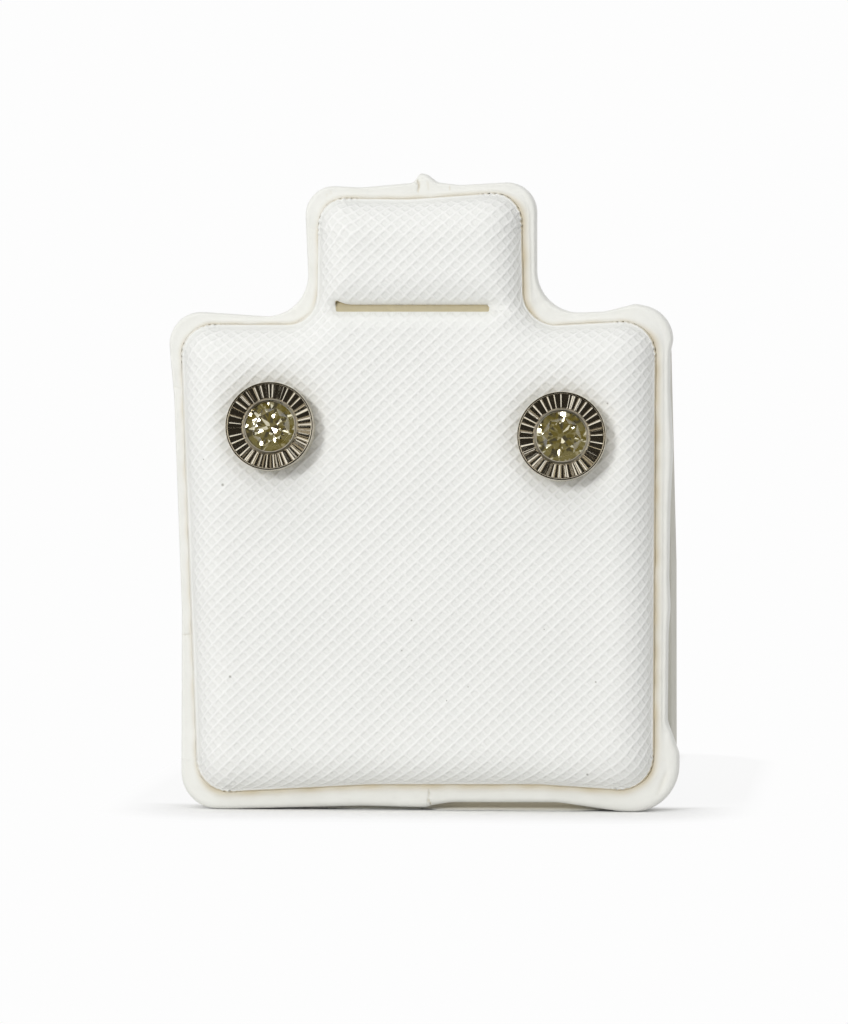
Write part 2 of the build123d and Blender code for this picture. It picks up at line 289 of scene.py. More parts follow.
# Embossed vinyl-coated cloth: the white coating is matt; painted highlight and shade make each raised
# thread line lighter than the pits, and painted shade tints the crease at the pad's foot tan.
# The net of raised lines is finer than the mesh, so its sharp shape is bump: each pit is a square with
# rounded corners, (u^4 + v^4)^(1/4) below a limit, where u and v are distances from its middle.
def embossedVinyl(pitch, lean, specks):
    material, add = blankMaterial("embossedVinyl")
    place = add("TexCoord").outputs["Object"]
    sheet = add("UVMap", uv_map="surface")
    powers = []
    for sign in (-1, 1):
        count = add("VectorMath", {
            0: sheet, 1: (sign * math.sin(lean) / pitch, math.cos(lean) / pitch, 0),
        }, operation="DOT_PRODUCT")
        nearLine = add("Math", {0: count, 1: 0.5}, operation="PINGPONG")
        fromMiddle = add("Math", {0: 0.5, 1: nearLine}, operation="SUBTRACT")
        powers.append(add("Math", {0: fromMiddle, 1: 4.0}, operation="POWER"))
        if sign < 0:
            risingLine = add("MapRange", {
                "Value": fromMiddle, "From Min": 0.28, "From Max": 0.48, "To Max": 0.35,
            }, interpolation_type="SMOOTHSTEP")
    total = add("Math", {0: powers[0], 1: powers[1]}, operation="ADD")
    roundness = add("Math", {0: total, 1: 0.25}, operation="POWER")
    net = add("MapRange", {
        "Value": roundness, "From Min": 0.22, "From Max": 0.45, "To Max": 0.8,
    }, interpolation_type="SMOOTHSTEP")
    net = add("Math", {0: net, 1: risingLine}, operation="ADD")
    emboss = add("Attribute", attribute_name="emboss").outputs["Fac"]
    net = add("Math", {0: net, 1: emboss}, operation="MULTIPLY")
    grain = add("TexNoise", {"Vector": place, "Scale": 9000.0, "Detail": 3.0})     # 0.1 mm grain
    paintedShade = add("Attribute", attribute_name="paintedShade").outputs["Fac"]
    # painted highlight and shade: raised lines are coloured lighter than the pits between them
    rims = add("MapRange", {"Value": net, "From Min": 0.3, "From Max": 1.1})
    tone = mottled(add, place, 260.0, 2.0, colour("F0F0EC"), colour("ECEDE9"))     # 4 mm patches
    ridgeLitTone = add("Mix", {"Factor": rims, "A": tone, "B": colour("F5F5F2")}, data_type="RGBA")
    # painted shade: the crease at the pad's foot turns tan, more where it faces away from the lamp
    shade = add("Mix", {"Factor": paintedShade, "A": ridgeLitTone, "B": colour("DFD5BE")}, data_type="RGBA")
    for x, z, size in specks:     # dust caught in the embossing
        gap = add("VectorMath", {0: place, 1: (x * 0.001, 0, z * 0.001)}, operation="SUBTRACT")
        flat = add("VectorMath", {0: gap, 1: (1, 0, 1)}, operation="MULTIPLY")
        span = add("VectorMath", {0: flat}, operation="LENGTH")
        spot = add("MapRange", {
            "Value": span, "From Min": size * 0.0002, "From Max": size * 0.0009,
            "To Min": 0.6, "To Max": 0.0,
        })
        shade = add("Mix", {"Factor": spot, "A": shade, "B": colour("6E6A5C")}, data_type="RGBA")
    embossed = add("Bump", {"Height": net, "Strength": 0.42, "Distance": 0.00008})
    bump = add("Bump", {
        "Height": grain, "Strength": 0.2, "Distance": 0.00002, "Normal": embossed,
    })
    surface = add("BsdfPrincipled", {
        "Base Color": shade, "Roughness": 0.52, "IOR": 1.5, "Normal": bump,
    })
    add("OutputMaterial", {"Surface": surface})
    return material


# Calendered PVC skin, turned over the edge: smooth and satin; painted shade tints it tan by the crease, in
# its folds and behind the bead's foot.
def smoothVinyl():
    material, add = blankMaterial("smoothVinyl")
    place = add("TexCoord").outputs["Object"]
    grain = add("TexNoise", {"Vector": place, "Scale": 6000.0, "Detail": 4.0})   # 0.17 mm grain
    paintedShade = add("Attribute", attribute_name="paintedShade").outputs["Fac"]
    tone = mottled(add, place, 700.0, 3.0, colour("F2F2ED"), colour("EAEAE3"))     # 1.5 mm patches
    # painted shade: tan where the shade mask is high
    shadedTone = add("Mix", {"Factor": paintedShade, "A": tone, "B": colour("D0C3A6")}, data_type="RGBA")
    bump = add("Bump", {"Height": grain, "Strength": 0.3, "Distance": 0.00003})
    surface = add("BsdfPrincipled", {
        "Base Color": shadedTone, "Roughness": 0.42, "IOR": 1.52, "Normal": bump,
    })
    add("OutputMaterial", {"Surface": surface})
    return material


# Cut edge of foam and glued card inside the slot: beige, open and matt, with painted light and shade by
# height.
def cutCore():
    material, add = blankMaterial("cutCore")
    place = add("TexCoord").outputs["Object"]
    height = add("SeparateXYZ", {"Vector": place}).outputs["Z"]
    # painted light and shade: the cut face is darker towards the bottom of the slot and lighter at its top
    share = add("MapRange", {"Value": height, "From Min": 0.02515, "From Max": 0.0255})
    heightShaded = add("Mix", {
        "Factor": share, "A": colour("C2B68E"), "B": colour("DCD3B6"),
    }, data_type="RGBA")
    tone = mottled(add, place, 2500.0, 5.0, heightShaded, colour("D0C6AA"))     # 0.4 mm cells
    surface = add("BsdfPrincipled", {"Base Color": tone, "Roughness": 0.85})
    add("OutputMaterial", {"Surface": surface})
    return material


# Laminated paperboard: thin plies show as fine lines on the cut edge, with paper fibre on the faces.
def laminatedBoard():
    material, add = blankMaterial("laminatedBoard")
    place = add("TexCoord").outputs["Object"]
    plies = add("Mapping", {"Vector": place, "Scale": (60.0, 4200.0, 60.0)})     # 0.24 mm plies
    layers = add("TexNoise", {"Vector": plies, "Scale": 1.0, "Detail": 2.0})
    fibres = add("Mapping", {"Vector": place, "Scale": (1200.0, 1200.0, 260.0)})
    tone = add("Mix", {
        "Factor": layers, "A": colour("DEDCD2"), "B": colour("C4C2B6"),
    }, data_type="RGBA")
    speckled = mottled(add, fibres, 1.0, 6.0, tone, colour("E9E7DE"))
    bump = add("Bump", {"Height": layers, "Strength": 0.5, "Distance": 0.00005})
    surface = add("BsdfPrincipled", {
        "Base Color": speckled, "Roughness": 0.8, "Normal": bump,
    })
    add("OutputMaterial", {"Surface": surface})
    return material


# Pale yellow gold alloy, cast and burnished: mirror-like with fine drawn lines along each flute;
# the bezel is left duller, so that it gathers light from all round.
def paleGold(name, dullest):
    material, add = blankMaterial(name)
    surfaceUv = add("UVMap", uv_map="surface")
    drawn = add("Mapping", {"Vector": surfaceUv, "Scale": (24.0, 0.8, 1.0)})    # 0.03 mm tool lines
    lines = add("TexNoise", {"Vector": drawn, "Scale": 1.0, "Detail": 2.0})
    place = add("TexCoord").outputs["Object"]
    wear = add("TexNoise", {"Vector": place, "Scale": 2600.0, "Detail": 3.0})
    dull = add("MapRange", {
        "Value": wear, "From Min": 0.3, "From Max": 0.7, "To Min": dullest / 2, "To Max": dullest,
    })
    bump = add("Bump", {"Height": lines, "Strength": 0.3, "Distance": 0.000004})
    surface = add("BsdfPrincipled", {
        "Base Color": colour("E9E1CE"), "Metallic": 1.0, "Roughness": dull, "Normal": bump,
    })
    add("OutputMaterial", {"Surface": surface})
    return material


# The same alloy in the closed cup under the stone, dull and darkened, which gives the stone its
# olive depth.
def tarnishedGold():
    material, add = blankMaterial("tarnishedGold")
    place = add("TexCoord").outputs["Object"]
    tone = mottled(add, place, 1800.0, 2.0, colour("8E8152"), colour("5E5333"))     # 0.5 mm patches
    surface = add("BsdfPrincipled", {"Base Color": tone, "Metallic": 1.0, "Roughness": 0.28})
    add("OutputMaterial", {"Surface": surface})
    return material


# Stamped gold-plated brass for the clutches: the same gold, brushed a little duller.
def platedBrass():
    material, add = blankMaterial("platedBrass")
    place = add("TexCoord").outputs["Object"]
    scratches = add("Mapping", {"Vector": place, "Scale": (900.0, 900.0, 9000.0)})
    lines = add("TexNoise", {"Vector": scratches, "Scale": 1.0, "Detail": 3.0})
    bump = add("Bump", {"Height": lines, "Strength": 0.25, "Distance": 0.00001})
    surface = add("BsdfPrincipled", {
        "Base Color": colour("E4CC93"), "Metallic": 1.0, "Roughness": 0.24, "Normal": bump,
    })
    add("OutputMaterial", {"Surface": surface})
    return material


# Cubic zirconia, faceted and polished: strongly refracting, with a faint olive tint from the gold
# behind.
def cutZirconia():
    material, add = blankMaterial("cutZirconia")
    surface = add("BsdfPrincipled", {
        "Base Color": colour("EAE4C8"), "Roughness": 0.0, "IOR": 2.17, "Transmission Weight": 1.0,
    })
    add("OutputMaterial", {"Surface": surface})
    return material


pad = {
    "edgeWidth": 2.0,        # the rounded edge in plan
    "footRadius": 0.16,      # where the pad's wall turns out into the flange
    "crown": 0.22, "crownReach": (12.5, 13),    # how far the middle stands up, half its width and height
    "pitch": 0.442,          # between parallel lines of the embossing
    "lean": math.radians(43),    # of both families of lines
    "lineNumbers": (-26, 84), "stations": (0, 0.17, 0.5, 0.83),     # of lines, and of the grid between them
    "lineWidth": 0.115,      # of a raised line, as a share of the pitch
    "relief": 0.009,
    "otherFamily": 0.6,      # height of the falling lines against the rising ones
    "slotCentre": -0.31 + 25.35j, "slotLength": 7.75, "slotHeight": 0.35, "slotSlope": -13.0,
    "slotFlare": 0.22,       # how much the left end is torn open upwards
    "slotLip": 0.12,         # depth over which the cut foam swells into the slot
    # the valley's reach above and below the slot, its depth at the slot, how much of a quarter circle
    # falls from the tab, and the share of the depth left beside the slot
    "valleyTab": 1.7, "valleyBody": 0.9, "tabDepth": 0.85, "bodyDepth": 0.9, "tabSteepness": 0.85,
    "valleyBeyond": 0.5,
    "dimpleDepth": 1.4, "dimpleWidth": 2.0,
    "bulge": 0.38, "bulgeWidth": 4.6,    # of the foam pressed up around each stud
    "holeRadius": 0.47, "holeDepth": 0.9,    # of the post holes, which are centred this far below the front
    # size, length, heading and phase of the foam's waves
    "waves": [(0.035, 9.0, 0.4, 0.3), (0.03, 7.0, 1.5, 2.1), (0.02, 5.2, 2.5, 4.0), (0.012, 3.4, 0.9, 1.1)],
    # x, z, diameter of each speck
    "specks": [
        (-9.77, 16.49, 0.11), (-9.43, 6.84, 0.1), (8.97, 6.67, 0.08), (8.53, 2, 0.1), (-0.26, 9.72, 0.07),
        (-10.76, 17.76, 0.06), (-6.3, 3.22, 0.05), (2.58, 6.4, 0.06), (1.5, 5.7, 0.06),
        (-0.75, 8.2, 0.06), (6.4, 9.3, 0.05), (9.55, 20.6, 0.07),
    ],
}
studs = {
    # lip centre x and z, tilt up and turn to the right in degrees
    "left": (-7.32, 19.47, 6.0, -1.0),
    "right": (7.32, 19.0, 6.0, 3.0),
}
lipY = -5.4


# Unit vector along a stud's post towards the viewer.
def studFacing(name):
    tilt, turn = (math.radians(angle) for angle in studs[name][2:])
    facing = np.array([math.sin(turn), -math.cos(turn) * math.cos(tilt), math.sin(tilt)])
    return facing / np.linalg.norm(facing)


# Where a stud's axis meets depth y, as a point of the card's plane.
def studAxisAt(name, y):
    x, z = studs[name][:2]
    facing = studFacing(name)
    along = (y - lipY) / facing[1]
    return x + along * facing[0] + 1j * (z + along * facing[2])


# Cross-section of the pad's edge by the length t of vinyl from the flat top: a quarter of an
# ellipse down to the wall, a quarter of a small circle out, then a straight flange.
# Gives the distance outwards and the drop for each t.
def edgeProfile():
    width, foot = pad["edgeWidth"], pad["footRadius"]
    drop = card["creaseY"] - card["padFront"]
    angle = np.linspace(0, np.pi / 2, 80)
    turn = angle[1:]
    outwards = np.concatenate([
        width * np.sin(angle), width + foot - foot * np.cos(turn), [width + 1.5],
    ])
    downwards = np.concatenate([
        (drop - foot) * (1 - np.cos(angle)), drop - foot + foot * np.sin(turn), [drop],
    ])
    length = np.concatenate([[0], np.cumsum(np.hypot(np.diff(outwards), np.diff(downwards)))])
    return length, outwards, downwards


# How far a place lies sideways past the slot's ends; negative between them.
def beyondSlot(place):
    return abs(place.real - pad["slotCentre"].real) - pad["slotLength"] / 2


# Depth of the valley between tab and body: circular arcs fall from each side to the slot,
# full along the slot and shallower towards the sides of the neck.
def valleyDepth(place):
    half, steep = pad["slotHeight"] / 2, pad["tabSteepness"]
    up, down = pad["valleyTab"], pad["valleyBody"]
    upDepth, downDepth = pad["tabDepth"], pad["bodyDepth"]
    height = place.imag - pad["slotCentre"].imag
    tabShare = np.clip((half + up - height) / up, 0, 1)
    bodyShare = np.clip((half + down + height) / down, 0, 0.999)
    tabArc = upDepth * (1 - np.sqrt(1 - (steep * tabShare) ** 2)) / (1 - math.sqrt(1 - steep ** 2))
    bodyArc = downDepth * (1 - np.sqrt(1 - bodyShare ** 2))
    bottom = downDepth + (upDepth - downDepth) * np.clip((height + half) / (2 * half), 0, 1)
    depth = np.where(height > half, tabArc, np.where(height < -half, bodyArc, bottom))
    return depth * (1 - (1 - pad["valleyBeyond"]) * ease(beyondSlot(place), -0.1, 1.1))


# Depth of the dimple that a stud presses, depth / (1 + (distance / width)^4), less the bulge
# round it, bulge exp(-(distance / bulge width)^4).
def dimpleDepth(place):
    depth = np.zeros(len(place))
    for name in studs:
        distance = abs(place - studAxisAt(name, card["padFront"]))
        depth += pad["dimpleDepth"] / (1 + (distance / pad["dimpleWidth"]) ** 4)
        depth -= pad["bulge"] * np.exp(-(distance / pad["bulgeWidth"]) ** 4)
    return depth


# Gentle unevenness of the foam: a few long waves in fixed directions.
def foamWaves(place):
    total = np.zeros(len(place))
    for size, length, heading, phase in pad["waves"]:
        total += size * np.sin(2 * np.pi * (place * np.exp(-1j * heading)).real / length + phase)
    return total


# How far the slot's middle rises where its left end is torn open: flare / 2 exp(-(x / 0.4)^2).
def slotFlare(place):
    fromEnd = (place - pad["slotCentre"]).real + pad["slotLength"] / 2
    return pad["slotFlare"] / 2 * np.exp(-(fromEnd / 0.4) ** 2)


# Signed distance to the slot's outline, a rectangle with rounded ends, opened upwards at the left;
# negative inside.
def slotDistance(place):
    corner = pad["slotHeight"] * 0.28
    offset = place - pad["slotCentre"]
    flare = slotFlare(place)
    sideways = abs(offset.real) - pad["slotLength"] / 2 + corner
    upwards = abs(offset.imag - flare) - pad["slotHeight"] / 2 - flare + corner
    beyondCorner = abs(np.maximum(sideways, 0) + 1j * np.maximum(upwards, 0))
    return beyondCorner + np.minimum(np.maximum(sideways, upwards), 0) - corner


# The pad is a grid whose rows follow the two families of embossed lines. A grid point at a length t
# of vinyl outside the flat top is carried down the edge profile from the closest place of the top's
# outline. Raised lines stand at whole numbers of either grid coordinate, exp(-(distance / width)^2)
# high. Points beside the slot, the post holes and the pad's end move onto them, and walls go back to
# the board.
def puffPad(materials):
    pitch, lean, edgeWidth = pad["pitch"], pad["lean"], pad["edgeWidth"]
    numbers = (np.arange(*pad["lineNumbers"])[:, None] + pad["stations"]).ravel()
    a, b = (part.ravel() for part in np.meshgrid(numbers, numbers, indexing="ij"))
    sheet = (b - a) * pitch / (2 * math.sin(lean)) + 1j * (a + b) * pitch / (2 * math.cos(lean))

    top = evenLoop(roundedLoop(insetCorners(card["padCorners"], edgeWidth)), card["loopPoints"], 0.05)
    outwards = loopNormals(top)
    reach = reachTo(top, outwards, evenLoop(roundedLoop(card["padCorners"]), card["loopPoints"], 0.08))

    closest, index = nearestOnLoop(sheet, top)
    outside = ((sheet - closest) * outwards[index].conj()).real > 0
    t = np.where(outside, abs(sheet - closest), 0)
    heading = np.where(outside & (t > 0.03), (sheet - closest) / np.maximum(t, 1e-9), outwards[index])
    length, across, down = edgeProfile()
    footStart = np.interp(edgeWidth, across[:80], length[:80])
    tEnd = np.interp(edgeWidth + footWidth(heading, closest), across, length)

    # distance outwards in plan for a length t, and back again
    def carriedBy(t, index):
        plan, limit = np.interp(t, length, across), reach[index]
        return np.where(plan < edgeWidth, plan * limit / edgeWidth, plan - edgeWidth + limit)

    def lengthFor(carried, index):
        limit = reach[index]
        plan = np.where(carried < limit, carried * edgeWidth / limit, carried - limit + edgeWidth)
        return np.interp(plan, across, length)

    place = np.where(outside, closest + heading * carriedBy(t, index), sheet)
    beyondEdge = t - tEnd
    inSlot = -slotDistance(place)
    inHole = np.full(len(sheet), -9.0)
    holeCentre = np.zeros(len(sheet), complex)
    holes = {name: studAxisAt(name, card["padFront"] + pad["holeDepth"]) for name in studs}
    for centre in holes.values():
        depthIn = pad["holeRadius"] - abs(place - centre)
        holeCentre = np.where(depthIn > inHole, centre, holeCentre)
        inHole = np.maximum(inHole, depthIn)
    excess = np.maximum(np.maximum(beyondEdge, inSlot), inHole)

    # faces whose corners lie inside on average are kept
    grid = np.arange(len(sheet)).reshape(len(numbers), -1)
    quads = np.stack([grid[:-1, :-1], grid[1:, :-1], grid[1:, 1:], grid[:-1, 1:]], axis=-1).reshape(-1, 4)
    quads = quads[excess[quads].mean(axis=1) < 0]
    touches = np.bincount(quads.ravel(), minlength=len(sheet))
    rim = (touches > 0) & (touches < 4)

    # rim points move onto the pad's end, the slot or a hole
    toEdge = rim & (beyondEdge >= inSlot) & (beyondEdge >= inHole)
    toSlot = rim & ~toEdge & (inSlot >= inHole)
    toHole = rim & ~toEdge & ~toSlot
    t = np.where(toEdge, tEnd, t)
    nudge = 0.01
    slope = (slotDistance(place + nudge) - slotDistance(place - nudge)
             + 1j * (slotDistance(place + 1j * nudge) - slotDistance(place - 1j * nudge)))
    snapped = np.where(toSlot, place + inSlot * slope / np.maximum(abs(slope), 1e-9), place)
    fromHole = place - holeCentre
    fromHole = fromHole / np.maximum(abs(fromHole), 1e-9)
    snapped = np.where(toHole, holeCentre + fromHole * pad["holeRadius"], snapped)
    moved = np.nonzero(toSlot | toHole)[0]
    closest[moved], index[moved] = nearestOnLoop(snapped[moved], top)
    away = snapped[moved] - closest[moved]
    outside[moved] = (away * outwards[index[moved]].conj()).real > 0
    t[moved] = np.where(outside[moved], lengthFor(abs(away), index[moved]), 0)
    outside = outside | toEdge
    place = np.where(outside, closest + heading * carriedBy(t, index), sheet)
    place = np.where(toSlot | toHole, snapped, place)
    flat = ~outside
    drop = np.where(flat, 0, np.interp(t, length, down))

    # valley, dimples, crown and waves; the deeper of valley and edge wins smoothly
    full = card["creaseY"] - card["padFront"]
    upper = 1 - ease(drop, 0.5 * full, 0.95 * full)
    valley = valleyDepth(place)
    halfWidth, halfHeight = pad["crownReach"]
    crown = pad["crown"] * np.clip(1 - (place.real / halfWidth) ** 2, 0, 1)
    crown = crown * np.clip(1 - ((place.imag - halfHeight) / halfHeight) ** 2, 0, 1)
    wanted = (np.maximum(valley, 1e-6) ** 3 + np.maximum(drop, 1e-6) ** 3) ** (1 / 3)
    uneven = dimpleDepth(place) - crown + foamWaves(place)
    drop = np.minimum(np.maximum(wanted, drop), full) + uneven * upper
    nearFoot = ease(drop, 0.5 * full, full) * ease(t, footStart - 1.2, footStart)
    drop = drop - flangeLift(heading, 0) * nearFoot

    # embossing, which fades out on the foot and at the slot, and is stretched below it
    lineA = np.exp(-(((a + 0.5) % 1 - 0.5) / pad["lineWidth"]) ** 2)
    lineB = np.exp(-(((b + 0.5) % 1 - 0.5) / pad["lineWidth"]) ** 2)
    height = 1 - (1 - lineA) * (1 - pad["otherFamily"] * lineB)
    smooth = 0.35 + 0.55 * facesLight(heading)
    below = np.clip(pad["slotCentre"].imag - place.imag, 0, None)
    stretched = 0.6 * np.exp(-(below / pad["valleyBody"]) ** 2) * (below > 0)
    stretched = stretched * ease(-beyondSlot(place), -0.6, 0.4)
    fade = 1 - ease(t, footStart - smooth - 0.3, footStart - smooth + 0.3)
    fade = fade * ease(-inSlot, 0.02, 0.3) * (1 - stretched)
    tiltOut = np.interp(t, length, np.gradient(down, length))
    lift = pad["relief"] * height * fade
    place = place + heading * np.where(flat, 0, tiltOut * lift)
    y = card["padFront"] + drop - lift * np.sqrt(np.clip(1 - np.where(flat, 0, tiltOut) ** 2, 0, 1))

    used = np.unique(quads)
    renumber = np.full(len(sheet), -1)
    renumber[used] = np.arange(len(used))
    faces = renumber[quads]
    points = np.stack([place.real, y, place.imag], axis=1)[used]

    # walls from every rim back to the board, along the posts and down the slot's slope; below the
    # slot the foam swells up just behind the lip, so that its cut face shows
    edges = np.stack([faces, np.roll(faces, -1, axis=1)], axis=-1).reshape(-1, 2)
    key = np.sort(edges, axis=1)
    key = key[:, 0] * len(points) + key[:, 1]
    first, count = np.unique(key, return_index=True, return_counts=True)[1:]
    rimEdges = edges[first[count == 1]]
    rimPoints = np.unique(rimEdges)
    middleOf = np.full(len(points), -1)
    middleOf[rimPoints] = len(points) + np.arange(len(rimPoints))
    back = points[rimPoints].copy()
    run = card["coverBack"] - back[:, 1]
    slotRim, holeRim = toSlot[used][rimPoints], toHole[used][rimPoints]
    sinking = (card["coverBack"] - card["creaseY"]) * math.tan(math.radians(pad["slotSlope"]))
    back[:, 2] += np.where(slotRim, sinking, 0)
    for name, centre in holes.items():
        facing = studFacing(name)
        mine = holeRim & (abs(holeCentre[used][rimPoints] - centre) < 0.1)
        back[:, 0] += np.where(mine, run * facing[0] / facing[1], 0)
        back[:, 2] += np.where(mine, run * facing[2] / facing[1], 0)
    back[:, 1] = card["coverBack"]
    share = np.clip(pad["slotLip"] / run, 0, 0.9)[:, None]
    middle = points[rimPoints] * (1 - share) + back * share
    rimPlace = points[rimPoints][:, 0] + 1j * points[rimPoints][:, 2]
    opening = 2 * (pad["slotCentre"].imag + slotFlare(rimPlace) - rimPlace.imag)
    swell = np.where(slotRim, np.maximum(opening, 0) * 1.3, 0)
    middle[:, 2] += swell
    back[:, 2] += 0.35 * swell
    inner = middleOf[rimEdges]
    walls = np.concatenate([
        np.concatenate([rimEdges[:, ::-1], inner], axis=1),
        np.concatenate([inner[:, ::-1], inner + len(back)], axis=1),
    ])
    behind = np.concatenate([middle, back])
    allFaces = np.concatenate([faces, walls]).tolist()
    faceMaterial = np.arange(len(allFaces)) >= len(faces)
    piece = meshPiece("puffPad", np.concatenate([points, behind]), allFaces, materials, faceMaterial)
    # painted shade: the tan crease tint is weaker where the edge faces the lamp, stronger where it faces up
    creaseShadeMask = ease(t, footStart - 0.35, footStart + 0.05)
    creaseShadeMask = creaseShadeMask * (1 - 0.75 * facesLight(heading) + 0.25 * ease(heading.imag, 0.5, 0.95))
    storeAttribute(piece, "paintedShade", np.concatenate([creaseShadeMask[used], np.ones(len(behind))]))
    storeAttribute(piece, "emboss", np.concatenate([fade[used], np.zeros(len(behind))]))
    storeUv(piece, np.concatenate([np.stack([sheet.real, sheet.imag], axis=1)[used], behind[:, ::2]]))
    finishMesh(piece, 1)
    print("pad:", len(piece.data.polygons), "faces")
    return piece


roll = {
    "sections": 1700,        # round the outline
    "tuck": 0.12,            # how far the outside turns in towards the board
    "waves": [(0.018, 1.3, 0), (0.014, 2.9, 1.2), (0.01, 5.3, 0.4)],     # height, angle per mm and phase
    # dents and folds pressed into the roll: x, z, heading in degrees, length, width, depth, brown painted
    # shade
    "folds": [
        (12.26, 1.52, 68, 1.3, 0.13, 0.07, 0.1), (12.45, 2.6, 168, 0.8, 0.03, 0.015, 0.1),
        (12.5, 4.3, 80, 0.8, 0.2, 0.05, 0), (-0.1, 31.68, 100, 0.24, 0.05, 0.1, 0.6),
        (-0.06, 31.42, 84, 0.5, 0.035, 0.14, 0.8), (0.42, 31.5, 96, 0.5, 0.06, 0.02, 0.2),
        (1.52, 31.38, 92, 0.25, 0.035, 0.03, 0.35), (-4.5, 31.15, 108, 0.22, 0.035, 0.03, 0.3),
        (-4.7, 31.02, 112, 0.2, 0.03, 0.03, 0.3), (5.42, 30.15, 100, 0.7, 0.03, 0.04, 0.15),
        (-11.8, 8.85, 3, 0.5, 0.03, 0.06, 0.25), (-12.35, 21.35, 170, 0.5, 0.04, 0.03, 0.1),
        (0.44, 0.75, 84, 0.7, 0.025, 0.12, 0.5), (0.53, 0.35, 108, 0.5, 0.03, 0.2, 0.7),
    ],
}


# Where a fold presses, exp(-(along / (length / 2))^4 - (across / width)^2).
def foldReach(place, fold):
    x, z, heading, length, width = fold[:5]
    local = (place - (x + 1j * z)) * np.exp(-1j * math.radians(heading))
    return np.exp(-(local.real / (length / 2)) ** 4 - (local.imag / width) ** 2)


# A profile carried round the pad's outline. Its width is the reach from the outline to the roll's
# outer line, less the flange. The front is a bead whose crest lies outside its middle at the upper
# left and inside it at the lower right; the outside runs back to the board with a slight tuck.
def edgeRoll(materials):
    count = roll["sections"]
    base = evenLoop(roundedLoop(card["padCorners"]), count, 0.08)
    outwards = loopNormals(base)
    reach = reachTo(base, outwards, evenLoop(roundedLoop(card["rollCorners"], 0.01), 3000, 0.05))
    along = np.arange(count) * abs(base[1] - base[0])
    flange = flangeWidth(outwards, base)
    inner = footWidth(outwards, base) + 0.004
    ledge = flange - inner
    width = reach - flange

    # the ledge, then the bead: a quarter sine up to its crest, (1 - u^3)^(1/2.2) down to the outside
    share = np.linspace(0, 1, 7)[:-1, None]
    s = np.linspace(-1, 1, 29)[:, None]
    crest = -0.25 + 0.5 * facesLight(outwards)
    climb = np.sin(np.pi / 2 * np.clip((s + 1) / (crest + 1), 0, 1))
    fall = (1 - np.clip((s - crest) / (1 - crest), 0, 1) ** 3) ** (1 / 2.2)
    start = card["creaseY"] - flangeLift(outwards, 1.0)
    bead = np.where(s < crest, start + (card["rollFront"] - start) * climb,
                    card["creaseY"] + (card["rollFront"] - card["creaseY"]) * fall)
    # below, the skirt behind the bead reaches down to the table and spreads forward on it
    skirt = ease(-outwards.imag, 0.9, 0.99) * np.clip((base + outwards * reach).imag - 0.01, 0, 1)
    flare = np.clip(skirt / 0.35, 0, 1)
    flat = np.ones(count)
    whole = ledge + width
    tuck = roll["tuck"] * (1 - flare)
    across = np.concatenate([
        np.zeros((2, count)), ledge * share, ledge + width * (s + 1) / 2,
        [whole - 0.03 * flare, whole + 0.1 * skirt - 0.1 * tuck, whole + 0.75 * skirt - 0.2 * tuck],
        [whole + 0.97 * skirt - 0.3 * tuck, whole + skirt - tuck, whole * 0.6, whole * 0.1],
    ])
    depth = np.concatenate([
        [(card["coverBack"] - 0.25) * flat, (card["creaseY"] + 0.25) * flat],
        card["creaseY"] - flangeLift(outwards, share), bead,
        [(card["creaseY"] + 0.4) * flat, -1.6 + 0.45 * flare, -1.5 + 0.3 * flare, -1.4 - 0.9 * flare],
        card["coverBack"] * np.ones((3, count)),
    ])
    place = base + outwards * (inner + across)
    waves = sum(size * np.sin(along * turn + phase) for size, turn, phase in roll["waves"])
    front = ease(-depth, -(card["creaseY"] - 0.15), -card["rollFront"])
    depth = depth + waves * front
    for fold in roll["folds"]:
        depth = depth + fold[5] * foldReach(place, fold) * ease(-depth, 1.2, 2.0)
    ripple = 0.012 * np.sin(along * 17) * ease(-base.real, 0, 1) * ease(-base.imag, -1.0, -0.3)
    depth = depth + ripple * front
    depth = np.minimum(depth, card["coverBack"])

    points = np.stack([place.real, depth, place.imag], axis=-1).reshape(-1, 3)
    piece = meshPiece("edgeRoll", points, ringFaces(len(depth), count, True), materials)
    # painted shade: tan next to the crease, wider and stronger on the sides turned from the lamp, wavering
    # along the roll
    shadeStrength = 0.28 + 0.18 * np.sin(along * 3.1) * np.sin(along * 0.9 + 2) + 0.5 * (1 - facesLight(outwards))
    rollShadeMask = np.exp(-(across / (0.25 - 0.12 * facesLight(outwards))) ** 2) * shadeStrength
    recess = slice(9 + len(s), 11 + len(s))     # the rows behind the bead's foot, tinted as painted contact shadow
    # painted shade: these rows are tinted dark for the shadow under the bead
    rollShadeMask[recess] = np.maximum(rollShadeMask[recess], 0.6 * flare)
    # painted shade: each fold is tinted brown along its length
    for fold in roll["folds"]:
        rollShadeMask = np.maximum(rollShadeMask, fold[6] * foldReach(place, fold))
    storeAttribute(piece, "paintedShade", np.clip(rollShadeMask, 0, 1).ravel())
    finishMesh(piece)
    print("roll:", len(piece.data.polygons), "faces")
    return piece


setting = {
    # land is half the flat ridge between two flutes, as a share of their pitch
    "flutes": 35, "land": 0.03, "fluteDepth": 0.06,
    "lipRadius": 2.22, "lipRound": 0.035, "lipWidth": 0.1, "grooveDepth": 0.1,
    "wallDepth": 0.85, "headDepth": 2.0, "backRadius": 1.15,
    "outer": (2.08, -0.1), "inner": (1.42, -0.27),
    "bezelRadius": 1.39, "bezelTop": -0.21, "bezelLip": 1.24, "bore": 1.29, "girdle": -0.62,
    "postRadius": 0.4, "postLength": 10.0,
}


# Quarter circle from one angle to another round a centre, as rows of radius and height.
def arcRows(centre, radius, first, last, count):
    angle = np.radians(np.linspace(first, last, count))
    return np.stack([centre[0] + radius * np.cos(angle), centre[1] + radius * np.sin(angle)], axis=1)


